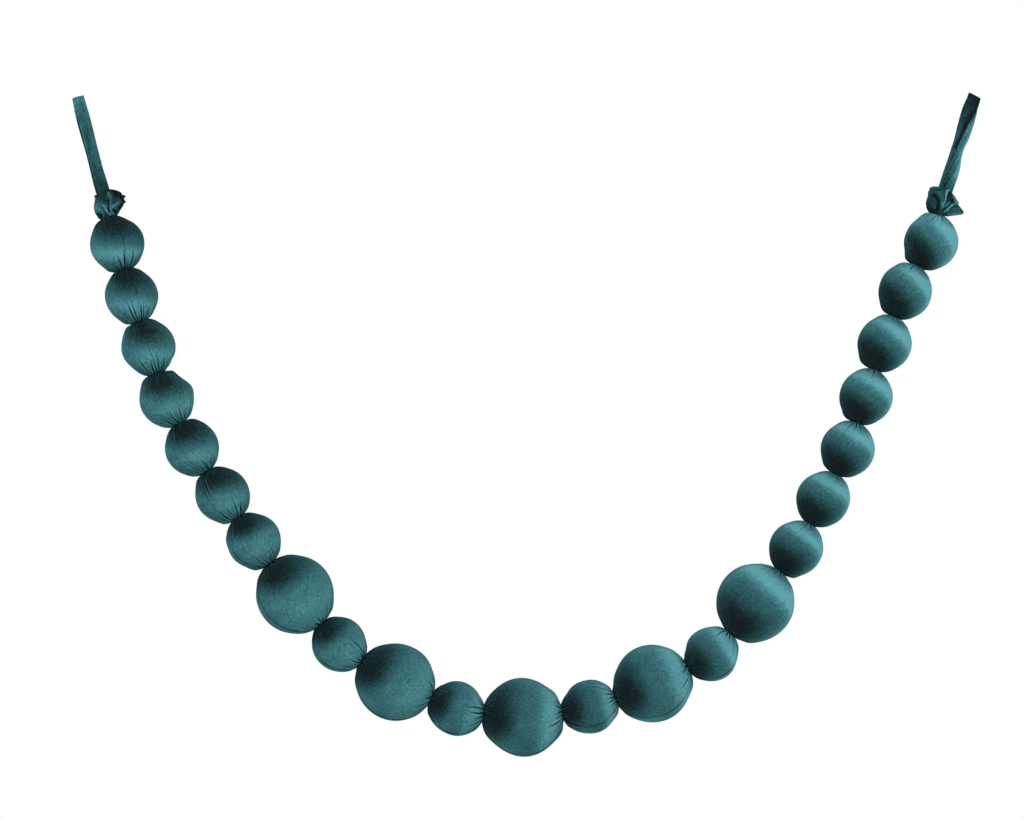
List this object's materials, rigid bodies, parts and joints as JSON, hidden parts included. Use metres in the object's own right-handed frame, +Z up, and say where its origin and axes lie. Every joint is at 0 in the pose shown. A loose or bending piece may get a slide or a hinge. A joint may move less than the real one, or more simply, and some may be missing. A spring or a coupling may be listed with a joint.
{
  "type": "velvet ball garland",
  "caption": "Hanging garland of stuffed velvet balls in two sizes, a tube of cloth drawn in between them, with a folded frill and a strap loop at each end.",
  "frame": {"origin": "where a hook bears on the inside of the top fold of the left strap loop", "axes": "+Z up, +X from the left loop to the right one along the span, -Y towards the viewer"},
  "size_m": [0.7563, 0.065, 0.5526],
  "materials": {
    "velvet": "short-pile teal velvet, matt in the dark lie of the nap and sheeny in the light one",
    "strap_velvet": "teal velvet ribbon, flat and a little lighter than the balls"
  },
  "bodies": {
    "root": {"velvet_tube": "velvet", "loop_left": "strap_velvet", "loop_right": "strap_velvet"}
  },
  "joints": []
}
